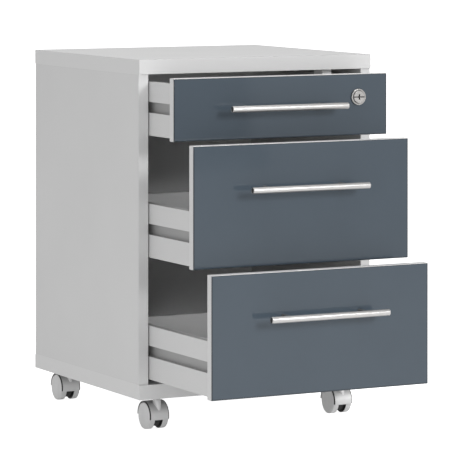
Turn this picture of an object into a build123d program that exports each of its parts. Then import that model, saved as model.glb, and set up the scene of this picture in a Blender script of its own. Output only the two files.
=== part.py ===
from build123d import *
import os

# Rolling pedestal cabinet: a board carcass on four twin-wheel casters, with three drawers.
# Millimetres. X runs to the right, Y to the back and Z up. The origin is on the floor, at the
# middle of the width, and midway along the depth that the cabinet takes with its drawers
# standing open as modelled.

# Carcass
WIDTH = 400.0
DEPTH = 382.0
HEIGHT = 560.0
BOARD = 22.0  # top and bottom boards, which run over the ends of the side panels
PANEL = 16.0  # side and back panels
FRONT_STEP = 3.0  # side panels and closed fronts stand this far behind the boards' front edges
REAR_STEP = 2.0  # the same at the back
CASTER_HEIGHT = 50.0  # from the floor to the underside of the bottom board

# Drawers, each tuple from the top drawer to the bottom one
DRAWERS = ("top", "middle", "bottom")
FRONT_HEIGHTS = (93.5, 181.0, 181.0)
REST_OPENINGS = (82.0, 146.0, 204.0)  # how far each drawer stands open as modelled
HANDLE_DROPS = (46.2, 66.1, 66.1)  # from a front's top edge to its handle's axis
FRONT_WIDTH = 364.0
FRONT_THICKNESS = 14.0
TOP_GAP = 3.0  # between the top board and the top front
FRONT_GAP = 2.0  # between neighbouring fronts
SIDE_THICKNESS = 12.0
SIDE_HEIGHT = 80.5
SIDE_LIFT = 4.5  # from a front's bottom edge to the bottom of its drawer sides
SIDE_LENGTH = 293.0
BASE_THICKNESS = 3.0
BASE_LIFT = 8.0  # from the bottom of the drawer sides to the base
BASE_GROOVE = 4.0  # how far the base enters the sides, the front and the back

# Runner strips, which sit in the grooves of the drawer sides
GROOVE_DROP = 30.0  # from the top of a drawer side to the top of its groove
GROOVE_HEIGHT = 16.4
GROOVE_DEPTH = 8.0
RUNNER_HEIGHT = 15.8
RUNNER_THICKNESS = 9.5
RUNNER_START = 22.0  # behind the boards' front edges
RUNNER_LENGTH = 300.0
RUNNER_END_DISTANCE = 40.0  # from a strip's ends to its screws

# Handles
BAR_DIAMETER = 10.0
BAR_LENGTH = 198.0
BAR_CHAMFER = 0.8
BAR_REACH = 27.5  # from a front's face to the bar's axis
POST_SPACING = 128.0
POST_DIAMETER = 8.0

# Lock
LOCK_FROM_RIGHT = 50.0
LOCK_DROP = 35.4
RING_DIAMETER = 25.0
RING_INNER = 20.0
RING_PLATE = 0.8
RING_HEIGHT = 2.6
RING_CHAMFER = 0.5
BARREL_DIAMETER = 18.0
BARREL_LENGTH = 30.0  # behind the front's face
NUT_ACROSS_FLATS = 22.0
NUT_THICKNESS = 4.0
PLUG_HEAD_DIAMETER = 19.2
PLUG_HEAD_HEIGHT = 4.2
PLUG_CHAMFER = 0.6
PLUG_DIAMETER = 14.0
PLUG_CLEARANCE = 0.1
PLUG_TAIL = 8.0
TURN_GROOVE = (1.8, 0.9)  # width and depth of the groove across the plug's head
KEY_SLOT = (2.4, 8.4, 9.0)  # width, height and depth
CAM_SHEET = 2.0
CAM_WIDTH = 14.0
CAM_CRANK = 14.0  # from the lock's axis to the outside of the cam's crank
CAM_REACH = 33.0
CAM_GAP = 1.0  # between the catch and the part of the cam that turns up behind it
CATCH = (16.0, 27.0, 14.0)
CATCH_START = 18.0  # behind the boards' front edges
CATCH_SCREWS = (0.25, 0.75)  # shares of the catch's length
CATCH_WELL = (8.0, 8.0)  # diameter and depth of the wells for the screws' heads

# Casters
WHEEL_DIAMETER = 40.4
WHEEL_ROUNDING = 1.6
CASTER_WIDTH = 32.5
WHEEL_GAP = 13.0  # between a caster's two wheels
TRAIL = 10.9  # the axle runs this far behind the stem
CASTER_INSET = 40.8  # from the cabinet's side to the stem
FRONT_STEM = 25.0  # from the boards' front edges to the front stems
REAR_STEM = 38.5  # from the boards' rear edges to the rear stems
HOOD_RADIUS = 22.6
HOOD_SHELL = 1.1
HOOD_DROP = 4.6  # how far the front of the hood reaches below the axle
WEB_WIDTH = 12.0
WEB_RADIUS = 16.2
BOSS_TOP = 47.3
BOSS_RADIUS = 5.7
BOSS_FOOT = 29.0
NOSE_RADIUS = 1.5  # at the lower end of the boss's nose
NOSE_LEAN = 8.0  # how far forward of the stem the nose ends
STEM_DIAMETER = 8.0
STEM_BOTTOM = 28.0
STEM_TOP = 66.5
STEM_CHAMFER = 0.8
STEM_COLLAR = (12.0, 1.5)  # diameter and thickness
STEM_CLEARANCE = 0.05
SOCKET_DIAMETER = 11.0
SOCKET_TOP = 68.0
SOCKET_SPACE = 0.5  # left above the stem
SOCKET_FLANGE = (18.0, 1.0)
AXLE_DIAMETER = 5.0
AXLE_LENGTH = 28.0
AXLE_CLEARANCE = 0.05
AXLE_SPACE = 0.3  # left at the axle's ends

# Fasteners
WOOD_SCREW = (3.5, 7.0, 16.0)  # shank, head and length
HANDLE_SCREW = (4.0, 8.0, 24.0, 2.6)  # shank, head, length under the head, head height
CAM_SCREW = (4.0, 9.0, 10.0, 2.2)
CARCASS_SCREW = (5.0, 10.0, 50.0)
DOWEL = (8.0, 30.0)
DOWEL_IN_BOARD = 12.0
DOWEL_FROM_EDGE = 60.0  # from the boards' front and rear edges to the nearest dowels
SCREW_FROM_EDGE = 100.0  # the same for the carcass screws

# Places worked out from the sizes above
HALF_WIDTH = WIDTH / 2
INNER_HALF = HALF_WIDTH - PANEL
DEEPEST = max(REST_OPENINGS) - FRONT_STEP + BAR_REACH + BAR_DIAMETER / 2
FRONT_Y = (DEEPEST - DEPTH) / 2  # the boards' front edges
REAR_Y = FRONT_Y + DEPTH
FLOOR_Z = CASTER_HEIGHT + BOARD  # top of the bottom board
CEILING_Z = HEIGHT - BOARD  # underside of the top board
CATCH_SCREW_HEAD = CEILING_Z - CATCH[2] + CATCH_WELL[1]
AXLE_Z = WHEEL_DIAMETER / 2
LOCK_X = FRONT_WIDTH / 2 - LOCK_FROM_RIGHT
LOW, MIDDLE = Align.MIN, Align.CENTER


def block(x, y, z):
    """A box between two values on each axis."""
    middle = [sum(span) / 2 for span in (x, y, z)]
    size = [abs(span[1] - span[0]) for span in (x, y, z)]
    return Pos(*middle) * Box(*size)


def rod(start, direction, length, diameter):
    """A cylinder that begins at start and runs along direction."""
    at = Plane(origin=start, z_dir=direction)
    return at * Cylinder(diameter / 2, length, align=(MIDDLE, MIDDLE, LOW))


def cone(start, direction, length, first, last):
    """A round taper that begins at start with diameter first and ends with diameter last."""
    at = Plane(origin=start, z_dir=direction)
    return at * Cone(first / 2, last / 2, length, align=(MIDDLE, MIDDLE, LOW))


def countersunk(head_at, direction, size):
    """A countersunk screw, whose flat head begins at head_at."""
    shank, head, length = size
    taper = (head - shank) / 2
    return cone(head_at, direction, taper, head, shank) + rod(head_at, direction, length, shank)


def group(shapes):
    """Separate solids that share one node."""
    return Compound(children=[solid for shape in shapes for solid in shape.solids()])


def moved(shapes, x=0.0, y=0.0):
    """A set of named shapes, all shifted."""
    return {name: Pos(x, y, 0) * shape for name, shape in shapes.items()}


# Carcass


def wood_screws():
    """Two screws in each runner strip and two in the lock catch."""
    screws = []
    for side in (-1, 1):
        for drawer in range(len(DRAWERS)):
            for y in runner_screw_places():
                head = (side * (INNER_HALF - RUNNER_THICKNESS), y, runner_height(drawer))
                screws.append(countersunk(head, (side, 0, 0), WOOD_SCREW))
    for y in catch_screw_places():
        head = (LOCK_X, y, CATCH_SCREW_HEAD)
        screws.append(countersunk(head, (0, 0, 1), WOOD_SCREW))
    return group(screws)


def runner_screw_places():
    start = FRONT_Y + RUNNER_START
    return [start + RUNNER_END_DISTANCE, start + RUNNER_LENGTH - RUNNER_END_DISTANCE]


def catch_screw_places():
    start = FRONT_Y + CATCH_START
    return [start + CATCH[1] * share for share in CATCH_SCREWS]


def runner_height(drawer):
    """The middle of a drawer's runner strips."""
    return side_top(drawer) - GROOVE_DROP - GROOVE_HEIGHT / 2


def runner_strips(screws):
    y = (FRONT_Y + RUNNER_START, FRONT_Y + RUNNER_START + RUNNER_LENGTH)
    strips = []
    for side in (-1, 1):
        x = (side * (INNER_HALF - RUNNER_THICKNESS), side * INNER_HALF)
        for drawer in range(len(DRAWERS)):
            middle = runner_height(drawer)
            z = (middle - RUNNER_HEIGHT / 2, middle + RUNNER_HEIGHT / 2)
            strips.append(block(x, y, z))
    return group([strip - screws for strip in strips])


def lock_catch(screws):
    """The block under the top board that the lock's cam turns up behind."""
    x = (LOCK_X - CATCH[0] / 2, LOCK_X + CATCH[0] / 2)
    y = (FRONT_Y + CATCH_START, FRONT_Y + CATCH_START + CATCH[1])
    catch = block(x, y, (CEILING_Z - CATCH[2], CEILING_Z)) - screws
    diameter, depth = CATCH_WELL
    for place in catch_screw_places():
        catch -= rod((LOCK_X, place, CATCH_SCREW_HEAD), (0, 0, -1), depth, diameter)
    return catch


def joint_places():
    """Where the upright panels are joined to the boards, as x and y."""
    edge = HALF_WIDTH - PANEL / 2
    back = REAR_Y - REAR_STEP - PANEL / 2
    depths = (DOWEL_FROM_EDGE, DEPTH - DOWEL_FROM_EDGE)
    sides = [(side * edge, FRONT_Y + y) for side in (-1, 1) for y in depths]
    return sides + [(side * WIDTH / 4, back) for side in (-1, 1)]


def carcass_dowels():
    diameter, length = DOWEL
    dowels = []
    for x, y in joint_places():
        dowels.append(rod((x, y, CEILING_Z + DOWEL_IN_BOARD - length), (0, 0, 1), length, diameter))
        dowels.append(rod((x, y, FLOOR_Z - DOWEL_IN_BOARD), (0, 0, 1), length, diameter))
    return group(dowels)


def carcass_screws():
    """Screws driven up through the bottom board into the side panels."""
    edge = HALF_WIDTH - PANEL / 2
    screws = []
    for x in (-edge, edge):
        for depth in (SCREW_FROM_EDGE, DEPTH - SCREW_FROM_EDGE):
            head = (x, FRONT_Y + depth, CASTER_HEIGHT)
            screws.append(countersunk(head, (0, 0, 1), CARCASS_SCREW))
    return group(screws)


def carcass():
    """The boards and panels, with the pieces that are fixed to them."""
    small = wood_screws()
    joinery = group([carcass_dowels(), carcass_screws()])
    board_x = (-HALF_WIDTH, HALF_WIDTH)
    board_y = (FRONT_Y, REAR_Y)
    panel_y = (FRONT_Y + FRONT_STEP, REAR_Y - REAR_STEP)
    back_y = (panel_y[1] - PANEL, panel_y[1])
    inside_z = (FLOOR_Z, CEILING_Z)
    top = block(board_x, board_y, (CEILING_Z, HEIGHT))
    bottom = block(board_x, board_y, (CASTER_HEIGHT, FLOOR_Z))
    left = block((-HALF_WIDTH, -INNER_HALF), panel_y, inside_z)
    right = block((INNER_HALF, HALF_WIDTH), panel_y, inside_z)
    back = block((-INNER_HALF, INNER_HALF), back_y, inside_z)
    return {
        "top_board": top - joinery - small,
        "bottom_board": bottom - joinery - socket_holes(),
        "left_side_panel": left - joinery - small,
        "right_side_panel": right - joinery - small,
        "back_panel": back - joinery,
        "carcass_dowels": carcass_dowels(),
        "carcass_screws": carcass_screws(),
        "runner_strips": runner_strips(small),
        "wood_screws": small,
        "lock_catch": lock_catch(small),
        "caster_sockets": caster_sockets(),
    }


# Drawers: each is built closed, with the front's face at y = 0, and then moved into place


def front_top(drawer):
    """The top edge of a drawer's front."""
    above = sum(FRONT_HEIGHTS[:drawer]) + drawer * FRONT_GAP
    return CEILING_Z - TOP_GAP - above


def side_bottom(drawer):
    return front_top(drawer) - FRONT_HEIGHTS[drawer] + SIDE_LIFT


def side_top(drawer):
    return side_bottom(drawer) + SIDE_HEIGHT


def drawer_base(drawer):
    half = FRONT_WIDTH / 2 - SIDE_THICKNESS + BASE_GROOVE
    back = FRONT_THICKNESS + SIDE_LENGTH - SIDE_THICKNESS + BASE_GROOVE
    z = side_bottom(drawer) + BASE_LIFT
    return block((-half, half), (FRONT_THICKNESS - BASE_GROOVE, back), (z, z + BASE_THICKNESS))


def drawer_side(drawer, side, base):
    """A drawer side with the runner groove in its outer face and the base groove inside."""
    outer = side * FRONT_WIDTH / 2
    inner = outer - side * SIDE_THICKNESS
    y = (FRONT_THICKNESS, FRONT_THICKNESS + SIDE_LENGTH)
    board = block((inner, outer), y, (side_bottom(drawer), side_top(drawer)))
    groove_top = side_top(drawer) - GROOVE_DROP
    groove = block((outer - side * GROOVE_DEPTH, outer), y, (groove_top - GROOVE_HEIGHT, groove_top))
    return board - groove - base


def drawer_back(drawer, base):
    half = FRONT_WIDTH / 2 - SIDE_THICKNESS
    end = FRONT_THICKNESS + SIDE_LENGTH
    board = block((-half, half), (end - SIDE_THICKNESS, end), (side_bottom(drawer), side_top(drawer)))
    return board - base


def handle(drawer):
    """A round bar on two posts, each held by a screw through the front."""
    z = front_top(drawer) - HANDLE_DROPS[drawer]
    plain_bar = rod((-BAR_LENGTH / 2, -BAR_REACH, z), (1, 0, 0), BAR_LENGTH, BAR_DIAMETER)
    bar = chamfer(plain_bar.edges().filter_by(GeomType.CIRCLE), BAR_CHAMFER)
    shank, head, length, head_height = HANDLE_SCREW
    posts = []
    screws = []
    for side in (-1, 1):
        x = side * POST_SPACING / 2
        under_head = (x, FRONT_THICKNESS, z)
        shaft = rod(under_head, (0, -1, 0), length, shank)
        screws.append(shaft + rod(under_head, (0, 1, 0), head_height, head))
        posts.append(rod((x, 0, z), (0, -1, 0), BAR_REACH, POST_DIAMETER) - plain_bar - shaft)
    return {"handle_bar": bar, "handle_posts": group(posts), "handle_screws": group(screws)}


def drawer_front(drawer, base, handle_screws):
    """The panel that closes the carcass, with holes for the handle's screws."""
    half = FRONT_WIDTH / 2
    top = front_top(drawer)
    panel = block((-half, half), (0, FRONT_THICKNESS), (top - FRONT_HEIGHTS[drawer], top))
    return panel - base - handle_screws


def build_drawer(drawer):
    base = drawer_base(drawer)
    pieces = handle(drawer)
    pieces["front"] = drawer_front(drawer, base, pieces["handle_screws"])
    pieces["left_side"] = drawer_side(drawer, -1, base)
    pieces["right_side"] = drawer_side(drawer, 1, base)
    pieces["back"] = drawer_back(drawer, base)
    pieces["base"] = base
    return pieces


def drawer_shift(drawer):
    """Where a drawer's front face stands along Y as modelled."""
    return FRONT_Y + FRONT_STEP - REST_OPENINGS[drawer]


# Lock, built with its drawer: the face of the front is at y = 0


def lock_axis(y):
    """The point on the lock's axis at a given y."""
    return (LOCK_X, y, front_top(0) - LOCK_DROP)


def lock_housing():
    """A threaded barrel with a plate and a raised ring in front of the drawer's front."""
    ring = rod(lock_axis(-RING_HEIGHT), (0, 1, 0), RING_HEIGHT, RING_DIAMETER)
    ring = chamfer(ring.edges().sort_by(Axis.Y)[0], RING_CHAMFER)
    recess = rod(lock_axis(-RING_HEIGHT), (0, 1, 0), RING_HEIGHT - RING_PLATE, RING_INNER)
    barrel = rod(lock_axis(0), (0, 1, 0), BARREL_LENGTH, BARREL_DIAMETER)
    bore_size = PLUG_DIAMETER + 2 * PLUG_CLEARANCE
    bore = rod(lock_axis(-RING_HEIGHT), (0, 1, 0), RING_HEIGHT + BARREL_LENGTH, bore_size)
    return ring + barrel - recess - bore


def lock_nut():
    at = Plane(origin=lock_axis(FRONT_THICKNESS), z_dir=(0, 1, 0))
    hexagon = RegularPolygon(NUT_ACROSS_FLATS / 2, 6, major_radius=False)
    nut = extrude(at * hexagon, NUT_THICKNESS)
    return nut - rod(lock_axis(0), (0, 1, 0), BARREL_LENGTH, BARREL_DIAMETER)


def cam_face():
    """How far behind the front's face the cam's hub begins."""
    return BARREL_LENGTH + PLUG_CLEARANCE


def head_cut(width, depth, height):
    """A box sunk into the middle of the plug's head from its face."""
    x, y, z = lock_axis(-PLUG_HEAD_HEIGHT)
    return block((x - width / 2, x + width / 2), (y, y + depth), (z - height / 2, z + height / 2))


def lock_plug():
    """The turning core, with a groove across its head and a slot for the key."""
    head_back = -RING_PLATE - PLUG_CLEARANCE
    head_length = PLUG_HEAD_HEIGHT + head_back
    head = rod(lock_axis(-PLUG_HEAD_HEIGHT), (0, 1, 0), head_length, PLUG_HEAD_DIAMETER)
    head = chamfer(head.edges().sort_by(Axis.Y)[0], PLUG_CHAMFER)
    core = rod(lock_axis(head_back), (0, 1, 0), cam_face() - head_back, PLUG_DIAMETER)
    tail = rod(lock_axis(cam_face()), (0, 1, 0), CAM_SHEET, PLUG_TAIL)
    groove_width, groove_depth = TURN_GROOVE
    groove = head_cut(PLUG_HEAD_DIAMETER, groove_depth, groove_width)
    slot_width, slot_height, slot_depth = KEY_SLOT
    key_slot = head_cut(slot_width, slot_depth, slot_height)
    thread = rod(lock_axis(cam_face() + CAM_SHEET), (0, -1, 0), CAM_SCREW[2], CAM_SCREW[0])
    return head + core + tail - groove - key_slot - thread


def lock_cam():
    """A cranked sheet arm. It points to the right when the lock is open."""
    x, _, z = lock_axis(0)
    near = cam_face()
    far = CATCH_START + CATCH[1] - FRONT_STEP + CAM_GAP
    width = (z - CAM_WIDTH / 2, z + CAM_WIDTH / 2)
    hub = rod(lock_axis(near), (0, 1, 0), CAM_SHEET, CAM_WIDTH)
    root = block((x, x + CAM_CRANK), (near, near + CAM_SHEET), width)
    crank = block((x + CAM_CRANK - CAM_SHEET, x + CAM_CRANK), (near, far + CAM_SHEET), width)
    arm = block((x + CAM_CRANK - CAM_SHEET, x + CAM_REACH), (far, far + CAM_SHEET), width)
    return hub + root + crank + arm - rod(lock_axis(near), (0, 1, 0), CAM_SHEET, PLUG_TAIL)


def cam_screw():
    shank, head, length, head_height = CAM_SCREW
    under_head = lock_axis(cam_face() + CAM_SHEET)
    return rod(under_head, (0, -1, 0), length, shank) + rod(under_head, (0, 1, 0), head_height, head)


def build_lock():
    return {
        "lock_housing": lock_housing(),
        "lock_nut": lock_nut(),
        "lock_plug": lock_plug(),
        "lock_cam": lock_cam(),
        "lock_cam_screw": cam_screw(),
    }


# Casters: each is built with its stem at x = y = 0 and its wheels trailing to the back


def stem_places():
    """Each caster's name and the place of its stem."""
    across = HALF_WIDTH - CASTER_INSET
    front = FRONT_Y + FRONT_STEM
    rear = REAR_Y - REAR_STEM
    return {
        "front_left": (-across, front),
        "front_right": (across, front),
        "rear_left": (-across, rear),
        "rear_right": (across, rear),
    }


def drum(radius, width):
    """A cylinder around the axle, centred between the wheels."""
    return rod((-width / 2, TRAIL, AXLE_Z), (1, 0, 0), width, 2 * radius)


def hood_cover():
    """The curved shell over both wheels, open to the back and lower at the front."""
    below = AXLE_Z - HOOD_DROP
    reach = 2 * HOOD_RADIUS
    shell = drum(HOOD_RADIUS, CASTER_WIDTH) - drum(HOOD_RADIUS - HOOD_SHELL, CASTER_WIDTH)
    front = block((-reach, reach), (TRAIL - reach, TRAIL), (below, below + reach))
    rear = block((-reach, reach), (TRAIL, TRAIL + reach), (AXLE_Z, AXLE_Z + reach))
    return shell & (front + rear)


def hood_web():
    """The plate between the wheels, which carries the axle and the stem."""
    reach = 2 * HOOD_RADIUS
    upper = block((-reach, reach), (TRAIL - reach, TRAIL + reach), (AXLE_Z, AXLE_Z + reach))
    return drum(WEB_RADIUS, WEB_WIDTH) + (drum(HOOD_RADIUS - HOOD_SHELL / 2, WEB_WIDTH) & upper)


def hood_boss():
    """The boss around the stem, with a nose that narrows down the front of the shell."""
    height = BOSS_TOP - BOSS_FOOT
    boss = rod((0, 0, BOSS_FOOT), (0, 0, 1), height, 2 * BOSS_RADIUS)
    down = Vector(0, -NOSE_LEAN, -height)
    start = (0, 0, BOSS_TOP)
    nose = cone(start, down.normalized(), down.length, 2 * BOSS_RADIUS, 2 * NOSE_RADIUS)
    above = block((-HOOD_RADIUS, HOOD_RADIUS), (-HOOD_RADIUS, HOOD_RADIUS), (BOSS_TOP, HEIGHT))
    return boss + (nose - above) - drum(HOOD_RADIUS - HOOD_SHELL / 2, CASTER_WIDTH)


def caster_stem():
    diameter, thickness = STEM_COLLAR
    pin = rod((0, 0, STEM_BOTTOM), (0, 0, 1), STEM_TOP - STEM_BOTTOM, STEM_DIAMETER)
    pin = chamfer(pin.edges().sort_by(Axis.Z)[-1], STEM_CHAMFER)
    return pin + rod((0, 0, BOSS_TOP), (0, 0, 1), thickness, diameter)


def caster_axle():
    return rod((-AXLE_LENGTH / 2, TRAIL, AXLE_Z), (1, 0, 0), AXLE_LENGTH, AXLE_DIAMETER)


def caster_wheel(side):
    """A wheel with a rounded outer edge and a blind bore for the axle."""
    width = (CASTER_WIDTH - WHEEL_GAP) / 2
    inner = side * WHEEL_GAP / 2
    wheel = rod((inner, TRAIL, AXLE_Z), (side, 0, 0), width, WHEEL_DIAMETER)
    rims = wheel.edges().filter_by(GeomType.CIRCLE).sort_by(Axis.X)
    outer = rims[-1] if side > 0 else rims[0]
    wheel = fillet(outer, WHEEL_ROUNDING)
    bore_depth = AXLE_LENGTH / 2 - WHEEL_GAP / 2 + AXLE_SPACE
    bore_size = AXLE_DIAMETER + 2 * AXLE_CLEARANCE
    return wheel - rod((inner, TRAIL, AXLE_Z), (side, 0, 0), bore_depth, bore_size)


def build_caster():
    stem = caster_stem()
    axle = caster_axle()
    return {
        "hood": hood_cover() + hood_web() + hood_boss() - stem - axle,
        "stem": stem,
        "axle": axle,
        "left_wheel": caster_wheel(-1),
        "right_wheel": caster_wheel(1),
    }


def socket_holes():
    """The holes in the bottom board that the sockets are pressed into."""
    height = SOCKET_TOP - CASTER_HEIGHT
    places = stem_places().values()
    feet = [(x, y, CASTER_HEIGHT) for x, y in places]
    return group([rod(foot, (0, 0, 1), height, SOCKET_DIAMETER) for foot in feet])


def caster_sockets():
    """Sleeves in the bottom board that the stems turn in."""
    flange, thickness = SOCKET_FLANGE
    bottom = CASTER_HEIGHT - thickness
    bore_length = STEM_TOP + SOCKET_SPACE - bottom
    bore_size = STEM_DIAMETER + 2 * STEM_CLEARANCE
    sockets = []
    for x, y in stem_places().values():
        foot = (x, y, bottom)
        sleeve = rod(foot, (0, 0, 1), SOCKET_TOP - bottom, SOCKET_DIAMETER)
        plate = rod(foot, (0, 0, 1), thickness, flange)
        bore = rod(foot, (0, 0, 1), bore_length, bore_size)
        sockets.append(sleeve + plate - bore)
    return group(sockets)


# The whole cabinet


def cabinet():
    """Every node's shape, in its place."""
    nodes = carcass()
    for drawer, name in enumerate(DRAWERS):
        pieces = moved(build_drawer(drawer), y=drawer_shift(drawer))
        nodes.update({f"{name}_drawer_{piece}": shape for piece, shape in pieces.items()})
    lock = build_lock()
    hole = rod(lock_axis(0), (0, 1, 0), FRONT_THICKNESS, BARREL_DIAMETER)
    nodes["top_drawer_front"] -= Pos(0, drawer_shift(0), 0) * hole
    nodes.update(moved(lock, y=drawer_shift(0)))
    for name, (x, y) in stem_places().items():
        pieces = moved(build_caster(), x=x, y=y)
        nodes.update({f"{name}_caster_{piece}": shape for piece, shape in pieces.items()})
    return nodes


os.makedirs("parts", exist_ok=True)
for node, shape in cabinet().items():
    shape.label = node
    export_step(shape, f"parts/{node}.step")
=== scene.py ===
import math

import bmesh
import bpy
from mathutils import Matrix, Vector


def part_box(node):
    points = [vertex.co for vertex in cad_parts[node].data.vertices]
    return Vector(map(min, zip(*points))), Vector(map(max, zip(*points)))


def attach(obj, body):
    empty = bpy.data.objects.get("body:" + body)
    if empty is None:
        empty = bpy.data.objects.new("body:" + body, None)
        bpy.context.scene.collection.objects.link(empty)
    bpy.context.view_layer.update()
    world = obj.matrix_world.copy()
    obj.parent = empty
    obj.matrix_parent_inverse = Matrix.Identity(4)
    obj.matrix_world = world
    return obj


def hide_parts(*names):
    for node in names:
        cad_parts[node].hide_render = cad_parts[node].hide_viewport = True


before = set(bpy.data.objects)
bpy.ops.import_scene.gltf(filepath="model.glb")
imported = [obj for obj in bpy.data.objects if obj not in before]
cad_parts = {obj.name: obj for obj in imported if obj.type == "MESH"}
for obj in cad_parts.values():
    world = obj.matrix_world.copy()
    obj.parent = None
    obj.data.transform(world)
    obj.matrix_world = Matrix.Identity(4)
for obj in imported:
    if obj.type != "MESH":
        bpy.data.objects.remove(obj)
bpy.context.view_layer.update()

MM = 0.001
DRAWERS = ("top", "middle", "bottom")
CASTERS = ("front_left", "front_right", "rear_left", "rear_right")


# Materials: each is a small node tree. Coordinates are the object's own, in metres.


class Shader:
    """A material's node tree, with short calls for the nodes that this scene uses."""

    def __init__(self, name):
        self.material = bpy.data.materials.new(name)
        self.material.use_nodes = True
        self.tree = self.material.node_tree
        self.tree.nodes.clear()
        output = self.tree.nodes.new("ShaderNodeOutputMaterial")
        self.surface = output.inputs["Surface"]

    def node(self, kind, **settings):
        made = self.tree.nodes.new(kind)
        for key, value in settings.items():
            setattr(made, key, value)
        return made

    def put(self, value, socket):
        """Links a socket, or sets a plain value."""
        if isinstance(value, bpy.types.NodeSocket):
            self.tree.links.new(value, socket)
        else:
            socket.default_value = value

    def place(self):
        return self.node("ShaderNodeTexCoord").outputs["Object"]

    def normal(self):
        return self.node("ShaderNodeNewGeometry").outputs["Normal"]

    def parts(self, vector):
        made = self.node("ShaderNodeSeparateXYZ")
        self.put(vector, made.inputs[0])
        return made.outputs

    def scaled(self, vector, factors):
        made = self.node("ShaderNodeVectorMath", operation="MULTIPLY")
        self.put(vector, made.inputs[0])
        made.inputs[1].default_value = factors
        return made.outputs[0]

    def math(self, operation, a, b=0.0, clamp=False):
        made = self.node("ShaderNodeMath", operation=operation, use_clamp=clamp)
        self.put(a, made.inputs[0])
        self.put(b, made.inputs[1])
        return made.outputs[0]

    def noise(self, vector, scale, detail=2.0, roughness=0.5):
        made = self.node("ShaderNodeTexNoise")
        self.put(vector, made.inputs["Vector"])
        made.inputs["Scale"].default_value = scale
        made.inputs["Detail"].default_value = detail
        made.inputs["Roughness"].default_value = roughness
        return made.outputs["Fac"]

    def fit(self, value, low, high, first=0.0, last=1.0):
        """Maps low..high to first..last, held at both ends."""
        made = self.node("ShaderNodeMapRange")
        self.put(value, made.inputs["Value"])
        for key, amount in zip(("From Min", "From Max", "To Min", "To Max"), (low, high, first, last)):
            made.inputs[key].default_value = amount
        return made.outputs["Result"]

    def mix(self, share, first, second):
        """A colour between first and second."""
        made = self.node("ShaderNodeMix", data_type="RGBA")
        self.put(share, made.inputs[0])
        self.put(first, made.inputs[6])
        self.put(second, made.inputs[7])
        return made.outputs[2]

    def bump(self, height, distance, strength=1.0, normal=None):
        made = self.node("ShaderNodeBump")
        self.put(height, made.inputs["Height"])
        made.inputs["Distance"].default_value = distance
        made.inputs["Strength"].default_value = strength
        if normal is not None:
            self.put(normal, made.inputs["Normal"])
        return made.outputs[0]

    def finish(self, **inputs):
        """Adds the principled surface and returns the material."""
        principled = self.node("ShaderNodeBsdfPrincipled")
        for key, value in inputs.items():
            self.put(value, principled.inputs[key.replace("_", " ")])
        self.tree.links.new(principled.outputs[0], self.surface)
        return self.material


def grey(value, warmth=0.0):
    return (value * (1 + warmth), value, value * (1 - warmth), 1.0)


def rim_distance(shader, place, box, broad):
    """How far a point is from the nearest edge of its board, measured in the board's plane."""
    low, high = box
    parts = shader.parts(place)
    found = None
    for axis in range(3):
        if axis == broad:
            continue
        near = shader.math("SUBTRACT", parts[axis], low[axis])
        far = shader.math("SUBTRACT", high[axis], parts[axis])
        nearest = shader.math("MINIMUM", near, far)
        found = nearest if found is None else shader.math("MINIMUM", found, nearest)
    return found


EDGE_BAND = 1.0 * MM  # thickness of the boards' edge banding
BAND_BLUR = 0.1 * MM  # how softly the banding meets the face
BAND_TONE = 1.03  # the banding's tone over the face's
GROOVE_SKIN = 0.6 * MM  # how deep the facing reaches into a routed groove
GROOVE_DEPTH = 8.6 * MM


def melamine(name, box, broad, tone, routed=None, front_tone=None):
    """Melamine-faced board with a pearl structure, and edge banding of another batch.

    broad is the axis across the board. routed is (plane, side) for a drawer side: inwards from
    x = plane, its routed groove is darker, partly as bare board and partly as painted shade.
    front_tone is the tone of the face towards -Y, where that differs.
    """
    shader = Shader(name)
    place = shader.place()
    pearl = shader.noise(place, 1400, 3.0, 0.6)
    cloud = shader.noise(place, 7, 2.0)
    rim = rim_distance(shader, place, box, broad)
    band = shader.fit(rim, EDGE_BAND - BAND_BLUR, EDGE_BAND, 1.0, 0.0)
    seam = shader.math("ABSOLUTE", shader.math("SUBTRACT", rim, EDGE_BAND))
    seam = shader.fit(seam, 0.4 * BAND_BLUR, 1.4 * BAND_BLUR, 1.0, 0.0)
    face = shader.mix(shader.fit(cloud, 0.3, 0.7), grey(tone * 0.985), grey(tone * 1.01))
    if front_tone is not None:
        behind = shader.math("SUBTRACT", shader.parts(place)[1], box[0][1])
        face = shader.mix(shader.fit(behind, 0.2 * MM, 0.4 * MM, 1.0, 0.0), face, grey(front_tone))
    face = shader.mix(shader.fit(pearl, 0.35, 0.65, 0.0, 0.06), face, grey(tone * 0.6))
    colour = shader.mix(band, face, grey(tone * BAND_TONE))
    colour = shader.mix(shader.math("MULTIPLY", seam, 0.35), colour, grey(tone * 0.35))
    # The routed groove is darker: partly its own bare board, partly painted shade in the groove.
    if routed is not None:
        plane, side = routed
        depth = shader.math("MULTIPLY", shader.math("SUBTRACT", plane, shader.parts(place)[0]), side)
        entered = shader.fit(depth, GROOVE_SKIN, 2 * GROOVE_SKIN)
        passed = shader.fit(depth, GROOVE_DEPTH, GROOVE_DEPTH + 0.4 * MM, 1.0, 0.0)
        bare_and_shaded = shader.math("MULTIPLY", entered, passed)
        colour = shader.mix(shader.math("MULTIPLY", bare_and_shaded, 0.75), colour, grey(tone * 0.52))
    rough = shader.fit(pearl, 0.3, 0.7, 0.42, 0.52)
    rough = shader.math("SUBTRACT", rough, shader.math("MULTIPLY", band, 0.1))
    height = shader.math("MULTIPLY", pearl, shader.math("SUBTRACT", 1.0, band))
    return shader.finish(
        Base_Color=colour,
        Roughness=rough,
        Normal=shader.bump(height, 0.05 * MM, 0.5),
        Specular_IOR_Level=0.4,
    )


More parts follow.
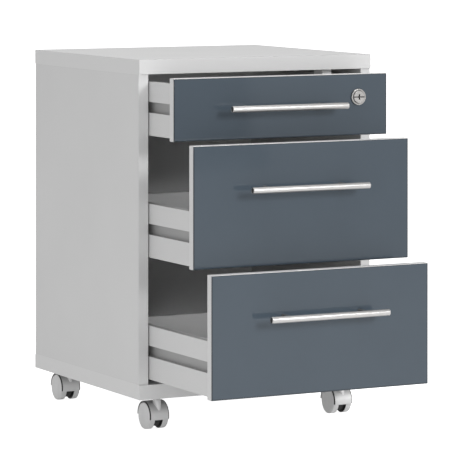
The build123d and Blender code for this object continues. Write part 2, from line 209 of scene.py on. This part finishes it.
SLATE_DARK = (0.051, 0.0695, 0.0895, 1.0)
SLATE_LIGHT = (0.055, 0.0745, 0.0955, 1.0)
SLATE_RIM = (0.022, 0.030, 0.040, 1.0)
RIM_SHADE = (1.1 * MM, 2.3 * MM)  # where the dark rim begins to fade, and where it ends
BAND_HIGHLIGHT_LIP = 0.9 * MM  # how far the band's colour is painted over the top of the face: partly the band itself, partly a painted highlight, as it lies along the top edge only


def gloss_slate(name, box):
    """Glossy slate face with a faint ripple and a dark rim, and a light lip along its top edge only: the top
    edge band's colour laid on as a painted highlight.
    """
    shader = Shader(name)
    place = shader.place()
    ripple = shader.noise(place, 45, 2.0)
    haze = shader.noise(place, 9, 4.0, 0.6)
    speck = shader.noise(place, 900, 2.0)
    rim = rim_distance(shader, place, box, 1)
    colour = shader.mix(shader.fit(haze, 0.3, 0.7), SLATE_DARK, SLATE_LIGHT)
    colour = shader.mix(shader.fit(speck, 0.62, 0.75, 0.0, 0.04), colour, grey(0.3))
    colour = shader.mix(shader.fit(rim, *RIM_SHADE, 0.9, 0.0), colour, SLATE_RIM)
    # painted highlight: the band's light colour over the top edge of the face only
    drop = shader.math("SUBTRACT", box[1][2], shader.parts(place)[2])
    colour = shader.mix(shader.fit(drop, BAND_HIGHLIGHT_LIP - 0.1 * MM, BAND_HIGHLIGHT_LIP, 1.0, 0.0), colour, grey(0.6))
    return shader.finish(
        Base_Color=colour,
        Roughness=0.4,
        Specular_IOR_Level=0.1,
        Coat_Weight=1.0,
        Coat_Roughness=shader.fit(haze, 0.3, 0.7, 0.03, 0.06),
        Coat_Normal=shader.bump(ripple, 0.01 * MM, 0.15),
    )


def brushed_metal(name, tone, stretch, warmth=0.015, rough=0.3, recess=None):
    """Plated metal with fine brush lines along the axis whose stretch is small.

    Behind the plane y = recess, the metal is painted dark: painted shade in the recesses.
    """
    shader = Shader(name)
    place = shader.place()
    lines = shader.noise(shader.scaled(place, stretch), 1.0, 4.0, 0.65)
    smudge = shader.noise(place, 60, 3.0)
    colour = shader.mix(shader.fit(lines, 0.3, 0.7), grey(tone * 0.96, warmth), grey(tone * 1.02, warmth))
    # painted shade: the metal turns dark behind the plane y = recess
    if recess is not None:
        behind = shader.math("SUBTRACT", shader.parts(place)[1], recess)
        colour = shader.mix(shader.fit(behind, 0.0, 0.3 * MM, 0.0, 0.85), colour, grey(0.03))
    roughness = shader.fit(lines, 0.3, 0.7, rough - 0.03, rough + 0.03)
    roughness = shader.math("ADD", roughness, shader.fit(smudge, 0.4, 0.7, 0.0, 0.04))
    return shader.finish(
        Base_Color=colour,
        Metallic=1.0,
        Roughness=roughness,
        Normal=shader.bump(lines, 0.01 * MM, 0.3),
    )


def moulded_plastic(name, tone, rough=0.38, grain=1800, warmth=0.0, metallic=0.0, top_shade=None):
    """Injection-moulded plastic with a fine spark-eroded grain and faint flow marks.

    The last argument gives two heights: where painted shade begins to darken the plastic towards the top,
    and where it is full.
    """
    shader = Shader(name)
    place = shader.place()
    texture = shader.noise(place, grain, 3.0, 0.6)
    flow = shader.noise(shader.scaled(place, (1.0, 1.0, 0.35)), 60, 3.0)
    colour = shader.mix(shader.fit(flow, 0.3, 0.7), grey(tone * 0.95, warmth), grey(tone * 1.04, warmth))
    # painted shade: the plastic darkens towards the top, for the shade and dark reflection under the board
    if top_shade is not None:
        unshaded, shaded = top_shade
        colour = shader.mix(shader.fit(shader.parts(place)[2], unshaded, shaded, 0.0, 0.62), colour, grey(0.05))
    return shader.finish(
        Base_Color=colour,
        Metallic=metallic,
        Roughness=shader.fit(texture, 0.3, 0.7, rough - 0.05, rough + 0.08),
        Normal=shader.bump(texture, 0.04 * MM, 0.4),
    )


def beech():
    """Turned beech with short flecks along the dowel."""
    shader = Shader("beech")
    place = shader.place()
    grain = shader.noise(shader.scaled(place, (900.0, 900.0, 60.0)), 1.0, 3.0)
    colour = shader.mix(shader.fit(grain, 0.35, 0.65), (0.42, 0.26, 0.13, 1.0), (0.62, 0.43, 0.25, 1.0))
    return shader.finish(Base_Color=colour, Roughness=0.6, Normal=shader.bump(grain, 0.1 * MM, 0.4))


def hardboard():
    """Painted hardboard with the faint mesh of its press."""
    shader = Shader("hardboard")
    place = shader.place()
    mesh = shader.noise(place, 520, 2.0, 0.7)
    cloud = shader.noise(place, 14, 3.0)
    colour = shader.mix(shader.fit(cloud, 0.3, 0.7), grey(0.55), grey(0.6))
    colour = shader.mix(shader.fit(mesh, 0.5, 0.75, 0.0, 0.12), colour, grey(0.4))
    return shader.finish(
        Base_Color=colour,
        Roughness=shader.fit(mesh, 0.3, 0.7, 0.55, 0.7),
        Normal=shader.bump(mesh, 0.08 * MM, 0.5),
    )


# Mesh tools

WELD_REACH = 0.002 * MM  # closer points than this are one point


def soften(piece, width):
    """Rounds a piece's sharp edges."""
    soft = piece.modifiers.new("edges", "BEVEL")
    soft.width = width
    soft.segments = 2
    soft.limit_method = "ANGLE"
    soft.angle_limit = math.radians(35)
    soft.harden_normals = True


def dress(node, material, bevel=0.0):
    """Gives a CAD node its material, and breaks its sharp edges by bevel metres."""
    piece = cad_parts[node]
    piece.data.materials.clear()
    piece.data.materials.append(material)
    if bevel:
        weld = piece.modifiers.new("weld", "WELD")
        weld.merge_threshold = WELD_REACH
        soften(piece, bevel)


def welded(node):
    """A copy of a CAD node's mesh with its faces joined along their edges."""
    mesh = bmesh.new()
    mesh.from_mesh(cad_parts[node].data)
    bmesh.ops.remove_doubles(mesh, verts=mesh.verts, dist=WELD_REACH)
    return mesh


def add_piece(name, mesh, materials, body, replaced, bevel=0.0, smooth=35):
    """Turns a mesh into a piece that rides on a body and stands for CAD nodes."""
    bmesh.ops.recalc_face_normals(mesh, faces=mesh.faces)
    for face in mesh.faces:
        face.smooth = True
    data = bpy.data.meshes.new(name)
    mesh.to_mesh(data)
    mesh.free()
    data.set_sharp_from_angle(angle=math.radians(smooth))
    for material in materials:
        data.materials.append(material)
    piece = bpy.data.objects.new(name, data)
    bpy.context.scene.collection.objects.link(piece)
    if bevel:
        soften(piece, bevel)
    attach(piece, body)
    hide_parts(*replaced)
    return piece


def placed(start, direction):
    """The place whose Z axis runs from start along direction."""
    return Matrix.Translation(start) @ Vector(direction).to_track_quat("Z", "Y").to_matrix().to_4x4()


def rounded(points, steps=4):
    """A profile whose corners are rounded. Each point is (along, radius, rounding)."""
    spots = [Vector(point[:2]) for point in points]
    out = []
    for i, here in enumerate(spots):
        size = points[i][2]
        if size == 0:
            out.append(here)
            continue
        start = here + (spots[i - 1] - here).normalized() * size
        end = here + (spots[i + 1] - here).normalized() * size
        for k in range(steps + 1):
            t = k / steps
            out.append(start * (1 - t) ** 2 + here * 2 * t * (1 - t) + end * t * t)
    return out


def lathe(mesh, place, profile, segments=64):
    """Adds the surface that a profile of (along, radius) sweeps around the Z axis of place."""
    rings = []
    for along, radius in profile:
        if radius == 0:
            rings.append([mesh.verts.new(place @ Vector((0, 0, along)))])
            continue
        ring = []
        for k in range(segments):
            angle = 2 * math.pi * k / segments
            spot = Vector((radius * math.cos(angle), radius * math.sin(angle), along))
            ring.append(mesh.verts.new(place @ spot))
        rings.append(ring)
    for first, second in zip(rings, rings[1:]):
        for k in range(segments):
            loop = []
            for ring, index in ((first, k), (first, k + 1), (second, k + 1), (second, k)):
                vert = ring[index % len(ring)]
                if vert not in loop:
                    loop.append(vert)
            mesh.faces.new(loop)
    return rings


def stack(mesh, rings):
    """Joins rings of points into a closed skin, with a cap at each end."""
    made = [[mesh.verts.new(point) for point in ring] for ring in rings]
    count = len(made[0])
    for first, second in zip(made, made[1:]):
        for k in range(count):
            j = (k + 1) % count
            mesh.faces.new((first[k], first[j], second[j], second[k]))
    mesh.faces.new(made[0])
    mesh.faces.new(made[-1])


# Screws: every separate solid of a screw node gets a turned head with a cross recess


def solids(node):
    """The points of each separate solid in a node."""
    mesh = welded(node)
    seen = set()
    found = []
    for vert in mesh.verts:
        if vert in seen:
            continue
        seen.add(vert)
        patch = [vert]
        for member in patch:
            for edge in member.link_edges:
                other = edge.other_vert(member)
                if other not in seen:
                    seen.add(other)
                    patch.append(other)
        found.append([member.co.copy() for member in patch])
    mesh.free()
    return found


def screw_axis(points):
    """Where a screw's head begins, its direction, and its sizes, from its CAD points."""
    low = Vector([min(point[axis] for point in points) for axis in range(3)])
    high = Vector([max(point[axis] for point in points) for axis in range(3)])
    size = high - low
    along = max(range(3), key=lambda axis: size[axis])
    middle = (low + high) / 2

    def width_at(end):
        spread = [point - middle for point in points if abs(point[along] - end[along]) < 0.05 * MM]
        return max(math.hypot(*[spot[axis] for axis in range(3) if axis != along]) for spot in spread)

    head, tip = (low, high) if width_at(low) > width_at(high) else (high, low)
    start = middle.copy()
    start[along] = head[along]
    direction = Vector((0, 0, 0))
    direction[along] = 1 if tip[along] > head[along] else -1
    radii = (width_at(head), width_at(tip))
    return start, direction, size[along], radii


def cross_recess(mesh, place, ring, reach):
    """Closes the flat top of a screw's head, leaving a tapered cross-shaped recess."""
    half = reach * 0.3
    depth = reach * 0.9
    rims = [mesh.edges.get((ring[k - 1], ring[k])) for k in range(len(ring))]
    outline = []
    for turn in range(4):
        cosine, sine = ((1, 0), (0, 1), (-1, 0), (0, -1))[turn]
        for x, y in ((reach, -half), (reach, half), (half, half)):
            outline.append((x * cosine - y * sine, x * sine + y * cosine))
    mouth = [mesh.verts.new(place @ Vector((x, y, 0))) for x, y in outline]
    foot = [mesh.verts.new(place @ Vector((x * 0.5, y * 0.5, depth))) for x, y in outline]
    for k in range(len(outline)):
        mesh.faces.new((mouth[k - 1], mouth[k], foot[k], foot[k - 1]))
        rims.append(mesh.edges.get((mouth[k - 1], mouth[k])))
    mesh.faces.new(foot)
    bmesh.ops.triangle_fill(mesh, edges=rims, use_beauty=True, normal=place.to_3x3() @ Vector((0, 0, -1)))


def add_screws(name, node, body, head_height):
    """Replaces a screw node. A head height of zero means a countersunk head."""
    mesh = bmesh.new()
    for points in solids(node):
        start, direction, length, (head, shank) = screw_axis(points)
        place = placed(start, direction)
        if head_height:
            profile = [(0, head * 0.62, 0), (0.22 * head_height, head * 0.9, 0.1 * head)]
            profile += [(head_height, head, 0), (head_height, shank, 0)]
        else:
            profile = [(0, head * 0.97, 0), (0.15 * MM, head, 0), (head - shank, shank, 0)]
        profile += [(length - 0.6 * MM, shank, 0), (length, shank * 0.6, 0), (length, 0, 0)]
        rings = lathe(mesh, place, rounded(profile, 3), 32)
        cross_recess(mesh, place, rings[0], head * 0.5)
    add_piece(name, mesh, [steel], body, [node])


# Materials in use

CARCASS_TONE = 0.62
DRAWER_TONE = 0.60  # drawer sides and the core of the fronts
BACK_TONE = 0.92  # inner face of the carcass's back panel
INSIDE_TONE = 0.76  # drawer backs
TOP_SHADE_HEIGHTS = (25 * MM, 42 * MM)  # where the painted shade on a hood's top begins, and where it is full

steel = brushed_metal("zinc_steel", 0.62, (300.0, 300.0, 300.0), 0.0, 0.34)
runner = moulded_plastic("runner_plastic", 0.66, 0.45)
catch = moulded_plastic("catch_plastic", 0.8, 0.45)
nickel = brushed_metal("handle_nickel", 0.62, (25.0, 2600.0, 2600.0), 0.015, 0.34)
# The posts' metal is a darker copy of the bar's nickel: painted shade, for the shade and dark reflections on
# the posts behind the bar.
shaded_post_nickel = brushed_metal("shaded_post_nickel", 0.20, (2600.0, 25.0, 2600.0), 0.01, 0.42)
end_plug = moulded_plastic("handle_end_plug", 0.04, 0.5)
boss_plastic = moulded_plastic("boss_plastic", 0.72, 0.5, metallic=0.3)
# The hood's plastic darkens towards its top with painted shade, for the shade under the bottom board.
hood_plastic = moulded_plastic("hood_plastic", 0.70, 0.5, metallic=0.3, top_shade=TOP_SHADE_HEIGHTS)
wheel_plastic = moulded_plastic("wheel_plastic", 0.66, 0.45, metallic=0.1)
# Black plastic for the web and the wheels' inner faces; the hood's liner uses it as painted shade.
black_plastic_and_shade = moulded_plastic("black_plastic_and_shade", 0.014, 0.5)
board_base = hardboard()

# Carcass

for node, broad in (
    ("top_board", 2),
    ("bottom_board", 2),
    ("left_side_panel", 0),
    ("right_side_panel", 0),
    ("back_panel", 1),
):
    front_tone = BACK_TONE if node == "back_panel" else None
    material = melamine(node + "_melamine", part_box(node), broad, CARCASS_TONE, front_tone=front_tone)
    dress(node, material, 0.5 * MM)

dress("carcass_dowels", beech())
dress("runner_strips", runner, 0.4 * MM)
dress("lock_catch", catch, 0.4 * MM)
dress("caster_sockets", steel)
add_screws("runner_and_catch_screws", "wood_screws", "carcass", 0.0)
add_screws("bottom_board_screws", "carcass_screws", "carcass", 0.0)

# Drawers

FACING = 1.3 * MM  # thickness of a front's gloss facing
SCREW_HOLE = 2.0 * MM  # radius
LOCK_HOLE = 9.0 * MM  # radius
HOLE_SIDES = 40
QUARTER = [math.radians(30 * k) for k in range(4)]  # angles along a rounded edge


def front_holes(drawer):
    """The holes through a drawer front, as (x, z, radius)."""
    holes = []
    for points in solids(drawer + "_drawer_handle_screws"):
        start, _, _, _ = screw_axis(points)
        holes.append((start[0], start[2], SCREW_HOLE))
    if drawer == "top":
        low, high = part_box("lock_housing")
        holes.append(((low[0] + high[0]) / 2, (low[2] + high[2]) / 2, LOCK_HOLE))
    return holes


def pierced_plate(low, high, near, far, holes, rounding):
    """A plate between y = near and y = far, with round holes through it.

    rounding gives the radius of its outer edges at the near and at the far face.
    """
    levels = []
    ends = ((near, 1, rounding[0], QUARTER), (far, -1, rounding[1], QUARTER[::-1]))
    for face, inwards, size, turns in ends:
        levels += [(face + inwards * size * (1 - math.cos(a)), size * (1 - math.sin(a))) for a in turns]
    outside = []
    for y, trim in levels:
        x = (low[0] + trim, high[0] - trim)
        z = (low[2] + trim, high[2] - trim)
        outside.append([(x[0], y, z[0]), (x[1], y, z[0]), (x[1], y, z[1]), (x[0], y, z[1])])
    walls = [outside]
    for x, z, radius in holes:
        turns = [2 * math.pi * k / HOLE_SIDES for k in range(HOLE_SIDES)]
        circle = [(x + radius * math.cos(a), z + radius * math.sin(a)) for a in turns]
        walls.append([[(across, y, up) for across, up in circle] for y in (near, far)])
    mesh = bmesh.new()
    rims = ([], [])
    for wall in walls:
        rings = [[mesh.verts.new(point) for point in ring] for ring in wall]
        for first, second in zip(rings, rings[1:]):
            for k in range(len(first)):
                mesh.faces.new((first[k - 1], first[k], second[k], second[k - 1]))
        for rim, ring in zip(rims, (rings[0], rings[-1])):
            rim += [mesh.edges.get((ring[k - 1], ring[k])) for k in range(len(ring))]
    for rim in rims:
        bmesh.ops.triangle_fill(mesh, edges=rim, use_beauty=True, normal=(0, -1, 0))
    return mesh


def add_front(drawer):
    """A drawer front as a light core with banded edges and a thin gloss facing."""
    node = drawer + "_drawer_front"
    body = drawer + "_drawer"
    low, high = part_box(node)
    cut = low[1] + FACING
    holes = front_holes(drawer)
    core = melamine(node + "_core", (low, high), 1, DRAWER_TONE)
    face = gloss_slate(node + "_gloss", (low, high))
    back = pierced_plate(low, high, cut, high[1], holes, (0.1 * MM, 0.4 * MM))
    front = pierced_plate(low, high, low[1], cut, holes, (0.45 * MM, 0.1 * MM))
    pieces = [
        add_piece(drawer + "_front_core", back, [core], body, [node]),
        add_piece(drawer + "_front_facing", front, [face], body, [node]),
    ]
    for piece in pieces:
        flat = piece.modifiers.new("flat_faces", "WEIGHTED_NORMAL")
        flat.keep_sharp = True


PLUG_DEPTH = 0.5 * MM  # how far a bar's end plug is set in
POST_GROOVE = (0.9 * MM, 1.7 * MM)  # from the foot of a handle's post
GROOVE_CUT = 0.25 * MM


def add_handle(drawer):
    """A turned bar with a dark plug in each end, on two turned posts."""
    node = drawer + "_drawer_handle_bar"
    body = drawer + "_drawer"
    low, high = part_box(node)
    middle = (low + high) / 2
    length = high[0] - low[0]
    radius = (high[2] - low[2]) / 2
    plug = radius * 0.78
    end = [(PLUG_DEPTH, 0, 0), (PLUG_DEPTH, plug, 0), (0.05 * MM, plug, 0.1 * MM)]
    end += [(0, radius - 0.8 * MM, 0.2 * MM), (0.8 * MM, radius, 0.3 * MM)]
    other = [(length - along, at, size) for along, at, size in reversed(end)]
    mesh = bmesh.new()
    place = placed((low[0], middle[1], middle[2]), (1, 0, 0))
    lathe(mesh, place, rounded(end + other), 96)
    for face in mesh.faces:
        x = face.calc_center_median().x
        reach = max(math.hypot(vert.co.y - middle[1], vert.co.z - middle[2]) for vert in face.verts)
        at_end = min(x - low[0], high[0] - x) < PLUG_DEPTH + 0.05 * MM
        face.material_index = 1 if at_end and reach < plug + 0.02 * MM else 0
    add_piece(drawer + "_handle_bar", mesh, [nickel, end_plug], body, [node], smooth=30)
    posts = drawer + "_drawer_handle_posts"
    low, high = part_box(posts)
    radius = (high[2] - low[2]) / 2
    foot = high[1]
    mesh = bmesh.new()
    for x in (low[0] + radius, high[0] - radius):
        place = placed((x, foot, middle[2]), (0, -1, 0))
        start, end = POST_GROOVE
        bottom = radius - GROOVE_CUT
        shape = [(0, 0, 0), (0, radius, 0.3 * MM), (start, radius, 0), (start + 0.2 * MM, bottom, 0)]
        shape += [(end - 0.2 * MM, bottom, 0), (end, radius, 0), (foot - middle[1], radius, 0)]
        shape += [(foot - middle[1], 0, 0)]
        lathe(mesh, place, rounded(shape), 48)
    add_piece(drawer + "_handle_posts", mesh, [shaded_post_nickel], body, [posts])
    add_screws(drawer + "_handle_screws", drawer + "_drawer_handle_screws", body, 2.6 * MM)


for name in DRAWERS:
    node = name + "_drawer_"
    add_front(name)
    add_handle(name)
    for side, sign in (("left_side", -1), ("right_side", 1)):
        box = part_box(node + side)
        outer = box[1][0] if sign > 0 else box[0][0]
        material = melamine(node + side, box, 0, DRAWER_TONE, routed=(outer, sign))
        dress(node + side, material, 0.4 * MM)
    dress(node + "back", melamine(node + "back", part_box(node + "back"), 1, INSIDE_TONE), 0.4 * MM)
    dress(node + "base", board_base)

# Lock

ring_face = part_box("lock_housing")[0][1]
plug_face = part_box("lock_plug")[0][1]
# Ring and plug turn dark behind a plane just inside their faces: painted shade in the lock's gap, groove and
# keyway.
ring_nickel = brushed_metal("ring_nickel", 0.52, (900.0, 200.0, 900.0), 0.02, 0.26, ring_face + 0.9 * MM)
plug_nickel = brushed_metal("plug_nickel", 0.60, (1500.0, 200.0, 300.0), 0.02, 0.24, plug_face + 0.25 * MM)
dress("lock_housing", ring_nickel, 0.2 * MM)
dress("lock_nut", steel, 0.3 * MM)
dress("lock_plug", plug_nickel, 0.15 * MM)
dress("lock_cam", steel, 0.25 * MM)
add_screws("cam_screw", "lock_cam_screw", "lock_core", 2.2 * MM)

# Casters

BORE_RADIUS = 2.55 * MM
BORE_SHARE = 0.78  # how deep the axle's bore is, over the wheel's width
RECESS = 0.5 * MM  # depth of the ring turned into a wheel's inner face
SHOULDER = 1.5 * MM  # rounding of a wheel's outer edge


def add_wheel(caster, side):
    """A turned wheel with rounded shoulders, a slightly domed disc and a blind bore."""
    node = caster + "_caster_" + side + "_wheel"
    low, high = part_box(node)
    middle = (low + high) / 2
    radius = (high[2] - low[2]) / 2
    width = high[0] - low[0]
    outwards = -1 if side == "left" else 1
    inner = high[0] if side == "left" else low[0]
    place = placed((inner, middle[1], middle[2]), (outwards, 0, 0))
    bore_end = BORE_SHARE * width
    shape = [(bore_end, 0, 0), (bore_end, BORE_RADIUS, 0), (0, BORE_RADIUS, 0), (0, 0.3 * radius, 0)]
    shape += [(RECESS, 0.36 * radius, 0), (RECESS, 0.8 * radius, 0), (0, 0.86 * radius, 0.2 * MM)]
    shape += [(0, radius - 0.1 * MM, 0.9 * MM), (0.45 * width, radius, 0)]
    shape += [(width - 0.15 * MM, radius - 0.15 * MM, SHOULDER), (width - 0.3 * MM, 0.82 * radius, 0.3 * MM)]
    shape += [(width - 0.06 * MM, 0.5 * radius, 0), (width, 0, 0)]
    mesh = bmesh.new()
    lathe(mesh, place, rounded(shape, 5), 96)
    for face in mesh.faces:
        depth = abs(face.calc_center_median().x - inner)
        reach = max(math.hypot(vert.co.y - middle[1], vert.co.z - middle[2]) for vert in face.verts)
        inner_face = depth < RECESS + 0.05 * MM and reach < radius - 0.5 * MM
        in_bore = depth < 0.8 * width and reach < BORE_RADIUS + 0.1 * MM
        face.material_index = 1 if inner_face or in_bore else 0
    add_piece(node + "_turned", mesh, [wheel_plastic, black_plastic_and_shade], node, [node])


# Angles around the axle run from the back, over the top, to the front.
HOOD_SHEET = 0.7 * MM
HOOD_FRONT = math.radians(191.7)
# The liner is a dark sheet that stands for the shade between the shell's edge and the wheels: painted shade.
SHADE_LINER_SHEET = 1.4 * MM
SHADE_LINER_SHOWN = 1.7 * MM  # how far the dark liner, painted shade, stands out at each side of the shell
SHADE_LINER_ARC = (math.radians(82), math.radians(190))
TRIM_RUN = math.radians(12)  # the angle over which the shell narrows to show the painted-shade liner
SHEET_STEPS = 72


def bent_sheet(centre, width, arc, reaches, trim=0.0):
    """A sheet bent around the axle, width metres to each side, less trim along the painted-shade liner's
    arc.
    """
    inner, outer = reaches
    rows = []
    for k in range(SHEET_STEPS + 1):
        angle = arc[0] + (arc[1] - arc[0]) * k / SHEET_STEPS
        ray = Vector((0, math.cos(angle), math.sin(angle)))
        half = width - trim * min(1.0, max(0.0, (angle - SHADE_LINER_ARC[0]) / TRIM_RUN))
        corners = ((-half, outer), (half, outer), (half, inner), (-half, inner))
        rows.append([centre + ray * reach + Vector((x, 0, 0)) for x, reach in corners])
    mesh = bmesh.new()
    stack(mesh, rows)
    return mesh


def add_hood_piece(caster, part, mesh, material, bevel=0.0, smooth=35):
    """One of the pieces that make up a caster's hood."""
    name = caster + "_hood_" + part
    body = caster + "_caster"
    return add_piece(name, mesh, [material], body, [body + "_hood"], bevel, smooth)


def add_hood(caster):
    """A bent shell over both wheels, the stem's boss, the web inside, and a dark liner inside the shell that
    shows at its edges as painted shade.
    """
    node = caster + "_caster_hood"
    low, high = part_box(node)
    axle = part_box(caster + "_caster_axle")
    centre = (axle[0] + axle[1]) / 2
    outer = high[1] - centre[1]
    half = (high[0] - low[0]) / 2
    inner = outer - HOOD_SHEET
    shell = bent_sheet(centre, half, (0.0, HOOD_FRONT), (inner, outer), SHADE_LINER_SHOWN)
    # painted shade: a black liner under the shell's narrowed edges
    painted_shade_liner = bent_sheet(centre, half - 0.2 * MM, SHADE_LINER_ARC, (inner - SHADE_LINER_SHEET, inner))
    add_hood_piece(caster, "painted_shade_liner", painted_shade_liner, black_plastic_and_shade, 0.1 * MM, 40)
    add_hood_piece(caster, "shell", shell, hood_plastic, 0.3 * MM, 40).modifiers["edges"].segments = 3
    add_boss(caster, high[2])
    add_web(caster, centre, inner)


BOSS_RADIUS = 5.7 * MM
BOSS_HEIGHT = 17.3 * MM
BOSS_STEPS = 24
BOSS_SIDES = 64
NOSE_RADIUS = 2.2 * MM  # at its foot
NOSE_LEAN = 8.0 * MM  # how far forward its foot is


def add_boss(caster, top):
    """The boss around the stem, whose nose narrows as it runs down the front of the shell."""
    low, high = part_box(caster + "_caster_stem")
    stem = (low + high) / 2
    rings = []
    for k in range(BOSS_STEPS + 1):
        share = k / BOSS_STEPS
        radius = BOSS_RADIUS + (NOSE_RADIUS - BOSS_RADIUS) * share**2
        trim = 0.35 * MM * max(0.0, 1 - 12 * share)
        ring = []
        for side in range(BOSS_SIDES):
            angle = 2 * math.pi * side / BOSS_SIDES
            out = Vector((math.cos(angle), math.sin(angle)))
            upright = out * (BOSS_RADIUS - trim)
            nose = out * (radius - trim) + Vector((0, -NOSE_LEAN * share))
            best = max((upright, nose), key=lambda spot: spot.dot(out))
            ring.append(Vector((stem[0] + best[0], stem[1] + best[1], top - BOSS_HEIGHT * share)))
        rings.append(ring)
    mesh = bmesh.new()
    stack(mesh, rings)
    add_hood_piece(caster, "boss", mesh, boss_plastic)


WEB_RADIUS = 16.2 * MM
WEB_HALF = 5.8 * MM
WEB_SIDES = 96


def add_web(caster, centre, inside):
    """The dark plate between the wheels: full height under the shell, round below."""
    outline = []
    for k in range(WEB_SIDES):
        angle = 2 * math.pi * k / WEB_SIDES
        reach = inside if angle <= HOOD_FRONT - 0.03 else WEB_RADIUS
        outline.append(Vector((0, reach * math.cos(angle), reach * math.sin(angle))))
    mesh = bmesh.new()
    stack(mesh, [[centre + spot + Vector((x, 0, 0)) for spot in outline] for x in (-WEB_HALF, WEB_HALF)])
    add_hood_piece(caster, "web", mesh, black_plastic_and_shade, 0.4 * MM)


for name in CASTERS:
    add_hood(name)
    dress(name + "_caster_stem", steel, 0.3 * MM)
    dress(name + "_caster_axle", steel, 0.3 * MM)
    for side in ("left", "right"):
        add_wheel(name, side)


# Stage: floor, light and camera


SKY_LIGHT = 0.56
FLOOR_SIZE = 60.0
FLOOR_LIGHT = 0.21  # what the floor gives off besides what it reflects
FLOOR_WHITE = 0.9  # the same as the camera sees it


def make_floor():
    """A pale floor that lights the underside and reads as white, with only a trace of shadow."""
    mesh = bmesh.new()
    bmesh.ops.create_grid(mesh, x_segments=1, y_segments=1, size=FLOOR_SIZE)
    data = bpy.data.meshes.new("floor")
    mesh.to_mesh(data)
    mesh.free()
    floor = bpy.data.objects.new("floor", data)
    bpy.context.scene.collection.objects.link(floor)
    shader = Shader("pale_floor")
    ray = shader.node("ShaderNodeLightPath").outputs["Is Camera Ray"]
    diffuse = shader.node("ShaderNodeBsdfDiffuse")
    diffuse.inputs["Color"].default_value = grey(0.8)
    glow = shader.node("ShaderNodeEmission")
    shader.put(shader.fit(ray, 0.0, 1.0, FLOOR_LIGHT, FLOOR_WHITE), glow.inputs["Strength"])
    both = shader.node("ShaderNodeAddShader")
    shader.put(diffuse.outputs[0], both.inputs[0])
    shader.put(glow.outputs[0], both.inputs[1])
    shader.tree.links.new(both.outputs[0], shader.surface)
    data.materials.append(shader.material)


def make_world():
    """Even white surroundings: white to the camera, softer as a light."""
    world = bpy.data.worlds.new("studio")
    bpy.context.scene.world = world
    world.use_nodes = True
    tree = world.node_tree
    tree.nodes.clear()
    output = tree.nodes.new("ShaderNodeOutputWorld")
    background = tree.nodes.new("ShaderNodeBackground")
    background.inputs["Color"].default_value = grey(1.0)
    ray = tree.nodes.new("ShaderNodeLightPath")
    strength = tree.nodes.new("ShaderNodeMapRange")
    strength.inputs["To Min"].default_value = SKY_LIGHT
    strength.inputs["To Max"].default_value = 1.0
    tree.links.new(ray.outputs["Is Camera Ray"], strength.inputs["Value"])
    tree.links.new(strength.outputs["Result"], background.inputs["Strength"])
    tree.links.new(background.outputs[0], output.inputs["Surface"])


def soft_box(name, position, aim, width, height, power, spread=180):
    """A rectangular lamp, in watts. A narrow spread, in degrees, keeps its light off the floor."""
    data = bpy.data.lights.new(name, "AREA")
    data.shape = "RECTANGLE"
    data.size = width
    data.size_y = height
    data.energy = power
    data.spread = math.radians(spread)
    lamp = bpy.data.objects.new(name, data)
    lamp.location = position
    lamp.rotation_euler = (Vector(aim) - Vector(position)).to_track_quat("-Z", "Y").to_euler()
    lamp.visible_camera = False
    bpy.context.scene.collection.objects.link(lamp)
    return lamp


CARD_EDGE = (2.285, -4.56)  # where the card's right edge stands
CARD_SIZE = (1.4, 1.8)
CARD_LIGHT = 0.38


def make_card():
    """An upright studio card, seen only in glossy reflections; on the gloss fronts it shows as one soft
    upright edge.
    """
    x, y = CARD_EDGE
    width, height = CARD_SIZE
    mesh = bmesh.new()
    corners = [(x - width, y, 0.0), (x, y, 0.0), (x, y, height), (x - width, y, height)]
    mesh.faces.new([mesh.verts.new(corner) for corner in corners])
    data = bpy.data.meshes.new("card")
    mesh.to_mesh(data)
    mesh.free()
    card = bpy.data.objects.new("card", data)
    bpy.context.scene.collection.objects.link(card)
    shader = Shader("studio_card")
    glow = shader.node("ShaderNodeEmission")
    glow.inputs["Strength"].default_value = CARD_LIGHT
    shader.tree.links.new(glow.outputs[0], shader.surface)
    data.materials.append(shader.material)
    card.visible_camera = False
    card.visible_diffuse = False
    card.visible_shadow = False


CAMERA_PLACE = (-2.251, -4.28325, 0.786)
CAMERA_TURN = math.radians(27.62)
FOCAL = 6.795652174  # the lens's focal length, in image heights
RISE = 0.69804  # how far the horizon lies above the image's middle, in image heights


def make_camera():
    """A level camera with its lens shifted down, so that upright edges stay parallel."""
    data = bpy.data.cameras.new("camera")
    data.lens = FOCAL * data.sensor_width
    data.clip_start = 0.1
    data.clip_end = 200.0
    camera = bpy.data.objects.new("camera", data)
    bpy.context.scene.collection.objects.link(camera)
    camera.location = CAMERA_PLACE
    camera.rotation_euler = (math.pi / 2, 0.0, -CAMERA_TURN)
    bpy.context.scene.camera = camera
    curve = data.driver_add("shift_y")
    variable = curve.driver.variables.new()
    variable.name = "x"
    variable.targets[0].id = camera
    variable.targets[0].data_path = "location.x"
    curve.driver.expression = f"{-RISE:.4f} * (abs(x - {CAMERA_PLACE[0]}) < 0.001)"
    for point in list(curve.keyframe_points):
        curve.keyframe_points.remove(point)


make_floor()
make_world()
soft_box("key", (1.74, -5.36, 2.33), (0.0, -0.1, 0.28), 1.5, 1.5, spread=45, power=10.5)
soft_box("fill", (-1.6, -1.9, 0.6), (0.0, 0.0, 0.28), 0.8, 0.8, 4.8)
soft_box("ceiling", (-0.2, -0.4, 3.2), (0.0, 0.0, 0.5), 2.0, 2.0, 33.0)
make_card()
make_camera()
bpy.context.scene.view_settings.view_transform = "Standard"
